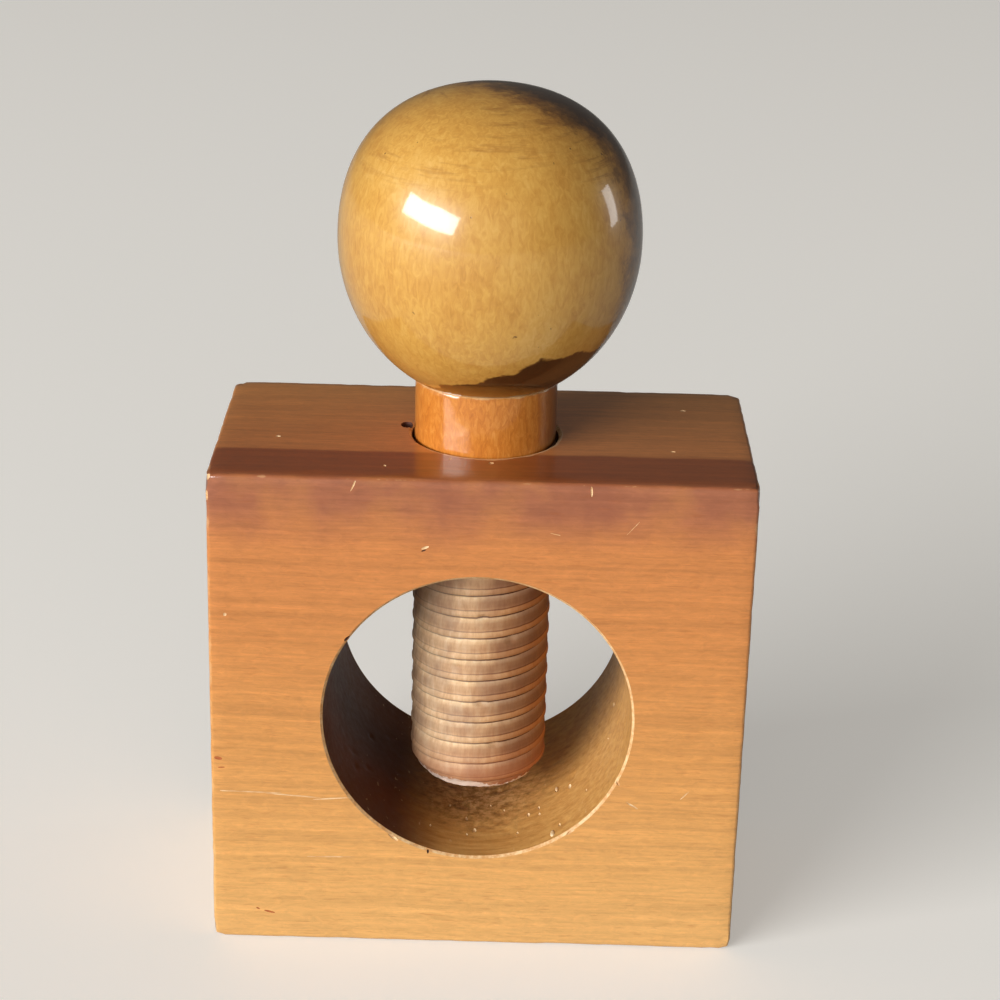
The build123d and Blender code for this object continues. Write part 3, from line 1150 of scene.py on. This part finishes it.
def worn_ball():
    """Turned ball, spun from the same outline as the frame's."""
    seat = neck_top
    base = BALL_WIDEST - seat
    ellipse_height = base / math.sqrt(1 - (BALL_SEAT_RADIUS / ball_radius) ** 2)
    whole_angle = math.asin(base / ellipse_height)
    points = [
        (0, 0, seat + DOWEL_DEPTH_IN_BALL),
        (DOWEL_HOLE_RADIUS, 0, seat + DOWEL_DEPTH_IN_BALL),
        (DOWEL_HOLE_RADIUS, 0, seat),
    ]
    steps = 30
    for index in range(steps + 1):
        angle = whole_angle * (1 - index / steps)
        points.append(
            (ball_radius * math.cos(angle), 0, BALL_WIDEST - ellipse_height * math.sin(angle))
        )
    crown = ball_top - BALL_WIDEST
    for index in range(1, steps + 1):
        t = index / steps
        across = (1 - t) ** 3 + 3 * (1 - t) ** 2 * t + 3 * (1 - t) * t * t * BALL_FULLNESS
        up = 3 * (1 - t) ** 2 * t * BALL_FULLNESS + 3 * (1 - t) * t * t + t ** 3
        points.append((ball_radius * across, 0, BALL_WIDEST + crown * up))
    ball = drawn_line("worn_ball", points)
    ball.data.materials.append(BALL_WOOD)
    edit(ball)
    bpy.ops.mesh.select_all(action="SELECT")
    bpy.ops.mesh.spin(steps=160, angle=2 * math.pi, center=(0, 0, 0), axis=(0, 0, 1))
    done()
    outward(ball)
    return ball


ball = worn_ball()
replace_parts(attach(ball, "screw"), "ball_knob")

for piece in (block, screw, ball):
    select_only(piece)
    bpy.ops.object.shade_smooth_by_angle(angle=math.radians(35))


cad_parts["knob_dowel"].material_slots[0].material = DOWEL_WOOD


# ---------------------------------------------------------------- floor, light and camera

clean_selection()
bpy.ops.mesh.primitive_plane_add(size=8, location=(0, 2, 0))
floor = named("floor")
floor.data.materials.append(pale_floor())

world = bpy.data.worlds.new("studio")
bpy.context.scene.world = world
world.use_nodes = True
world.node_tree.nodes["Background"].inputs["Color"].default_value = colour("#D2CCC4")
world.node_tree.nodes["Background"].inputs["Strength"].default_value = 0.14


def window(name, direction, distance, width, height, power, turn=0.0):
    """A soft lamp that faces the nutcracker."""
    aim = Vector((0, 0, 80 * MM))
    place = aim + Vector(direction).normalized() * distance
    lamp = bpy.data.lights.new(name, "AREA")
    lamp.shape = "RECTANGLE"
    lamp.size = width
    lamp.size_y = height
    lamp.energy = power
    holder = bpy.data.objects.new(name, lamp)
    bpy.context.scene.collection.objects.link(holder)
    facing = (place - aim).to_track_quat("Z", "Y").to_matrix().to_4x4()
    holder.matrix_world = Matrix.Translation(place) @ facing @ Matrix.Rotation(turn, 4, "Z")
    return holder


window("window_light", (-0.71, -0.65, 0.28), 3.0, 2.4, 0.72, 100, math.radians(-8))
window("side_light", (1, 0.3, 0.06), 3.0, 0.5, 1.3, 9)
front_light = window("front_light", (-0.3, -1, 0.2), 4.0, 7.0, 3.0, 92)
front_light.visible_glossy = False

CAMERA_PLACE = Vector((0.003075, -0.397813, 0.233485))
CAMERA_YAW = -0.00067
CAMERA_PITCH = 0.38115
CAMERA_ROLL = -0.02716
camera = bpy.data.objects.new("camera", bpy.data.cameras.new("camera"))
bpy.context.scene.collection.objects.link(camera)
camera.data.sensor_width = 36
camera.data.lens = 89.745
camera.data.clip_start = 0.01
forward = Vector((
    math.sin(CAMERA_YAW) * math.cos(CAMERA_PITCH),
    math.cos(CAMERA_YAW) * math.cos(CAMERA_PITCH),
    -math.sin(CAMERA_PITCH),
))
level = Vector((math.cos(CAMERA_YAW), -math.sin(CAMERA_YAW), 0))
upright = level.cross(forward)
right = level * math.cos(CAMERA_ROLL) - upright * math.sin(CAMERA_ROLL)
up = level * math.sin(CAMERA_ROLL) + upright * math.cos(CAMERA_ROLL)
turned = Matrix((right, up, -forward)).transposed().to_4x4()
camera.matrix_world = Matrix.Translation(CAMERA_PLACE) @ turned
bpy.context.scene.camera = camera
bpy.context.scene.view_settings.view_transform = "Standard"
